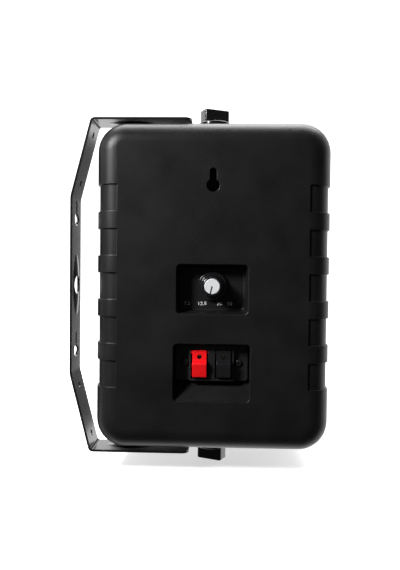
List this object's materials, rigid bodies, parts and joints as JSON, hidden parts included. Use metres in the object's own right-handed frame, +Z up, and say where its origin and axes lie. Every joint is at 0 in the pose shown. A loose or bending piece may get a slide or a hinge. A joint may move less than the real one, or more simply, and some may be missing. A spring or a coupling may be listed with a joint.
{
  "type": "wall-mount cabinet speaker",
  "caption": "Small two-way wall loudspeaker in a black plastic cabinet that swivels in a folded steel U bracket, with a power selector and push terminals on its back.",
  "frame": {"origin": "middle of the bracket's face that lies on the wall, halfway between its two keyholes", "axes": "+X into the wall, -Y the way the speaker fires at rest, +Z up"},
  "size_m": [0.168, 0.1289, 0.2434],
  "materials": {
    "black_paint": "gloss",
    "shell_plastic": "matt, fine grain",
    "knob_plastic": "gloss",
    "block_plastic": "satin",
    "red_plastic": "gloss",
    "silver_cap": "satin",
    "grille_paint": "satin powder coat",
    "rubber": "matt",
    "zinc": "zinc plated",
    "black_screw": "black oxide",
    "brass": "plain",
    "basket_steel": "satin",
    "ferrite": "matt",
    "spider_cloth": "woven, resin dipped",
    "cone_paper": "pressed paper",
    "coil_former": "film",
    "copper_wire": "enamelled",
    "tweeter_plastic": "satin",
    "dome_film": "satin",
    "core_steel": "laminated",
    "winding_tape": "tape",
    "switch_body": "satin",
    "board_green": "solder mask",
    "capacitor_red": "gloss"
  },
  "bodies": {
    "bracket": {"bracket": "black_paint", "top_rubber_washer": "rubber", "bottom_rubber_washer": "rubber"},
    "cabinet": {"rear_shell": "shell_plastic", "front_frame": "shell_plastic", "frame_gasket": "rubber", "frame_screws": "zinc", "grille": "grille_paint", "woofer_basket": "basket_steel", "woofer_gasket": "rubber", "woofer_screws": "black_screw", "woofer_front_plate": "zinc", "woofer_magnet": "ferrite", "woofer_yoke": "zinc", "woofer_spider": "spider_cloth", "woofer_surround": "rubber", "tweeter_face_plate": "tweeter_plastic", "tweeter_dome": "dome_film", "tweeter_magnet": "ferrite", "tweeter_screws": "black_screw", "transformer_core": "core_steel", "transformer_winding": "winding_tape", "transformer_strap": "zinc", "transformer_screws": "zinc", "selector_switch": "switch_body", "selector_nut": "zinc", "terminal_block": "block_plastic", "red_contact": "brass", "black_contact": "brass", "red_spring": "zinc", "black_spring": "zinc", "terminal_screws": "black_screw", "filter_board": "board_green", "filter_screws": "zinc", "filter_capacitor": "capacitor_red", "filter_coil": "copper_wire", "top_threaded_insert": "brass", "bottom_threaded_insert": "brass"},
    "top_washer": {"top_steel_washer": "zinc"},
    "top_clamp": {"top_clamp_knob": "knob_plastic", "top_clamp_stud": "zinc"},
    "bottom_washer": {"bottom_steel_washer": "zinc"},
    "bottom_clamp": {"bottom_clamp_knob": "knob_plastic", "bottom_clamp_stud": "zinc"},
    "selector": {"selector_knob": "knob_plastic", "selector_cap": "silver_cap", "selector_shaft": "zinc"},
    "red_lever": {"red_lever": "red_plastic"},
    "black_lever": {"black_lever": "knob_plastic"},
    "cone": {"woofer_cone": "cone_paper", "woofer_dust_cap": "cone_paper", "woofer_coil_former": "coil_former", "woofer_coil": "copper_wire"}
  },
  "joints": [
    {"name": "cabinet_swing", "type": "hinge", "parent": "bracket", "child": "cabinet", "pos_m": [-0.09302, -0.022, 0], "axis": [0, 0, 1], "range_deg": [-180, 0]},
    {"name": "top_clamp_lift", "type": "slide", "parent": "cabinet", "child": "top_washer", "axis": [0, 0, 1], "range_m": [0, 0.001]},
    {"name": "top_clamp_turn", "type": "hinge", "parent": "top_washer", "child": "top_clamp", "pos_m": [-0.09302, -0.022, 0.11], "axis": [0, 0, 1], "range_deg": [0, 360]},
    {"name": "bottom_clamp_lift", "type": "slide", "parent": "cabinet", "child": "bottom_washer", "axis": [0, 0, -1], "range_m": [0, 0.001]},
    {"name": "bottom_clamp_turn", "type": "hinge", "parent": "bottom_washer", "child": "bottom_clamp", "pos_m": [-0.09302, -0.022, -0.11], "axis": [0, 0, -1], "range_deg": [0, 360]},
    {"name": "selector_turn", "type": "hinge", "parent": "cabinet", "child": "selector", "pos_m": [-0.09302, 0.013, 0.0005], "axis": [0, 1, 0], "range_deg": [-30, 60]},
    {"name": "red_lever_press", "type": "hinge", "parent": "cabinet", "child": "red_lever", "pos_m": [-0.08532, 0.0156, -0.0421], "axis": [-1, 0, 0], "range_deg": [0, 14], "stiffness_Nm_per_rad": 0.1, "springref_deg": -14.32, "deforming": ["red_spring"]},
    {"name": "black_lever_press", "type": "hinge", "parent": "cabinet", "child": "black_lever", "pos_m": [-0.10072, 0.0156, -0.0421], "axis": [-1, 0, 0], "range_deg": [0, 14], "stiffness_Nm_per_rad": 0.1, "springref_deg": -14.32, "deforming": ["black_spring"]},
    {"name": "cone_travel", "type": "slide", "parent": "cabinet", "child": "cone", "axis": [0, -1, 0], "range_m": [-0.0025, 0.0025], "stiffness_N_per_m": 1200, "deforming": ["woofer_surround", "woofer_spider"]}
  ],
  "couplings": [
    {"joint": "top_clamp_turn", "follows": "top_clamp_lift", "rad_per_m": 6283.2},
    {"joint": "bottom_clamp_turn", "follows": "bottom_clamp_lift", "rad_per_m": 6283.2}
  ]
}
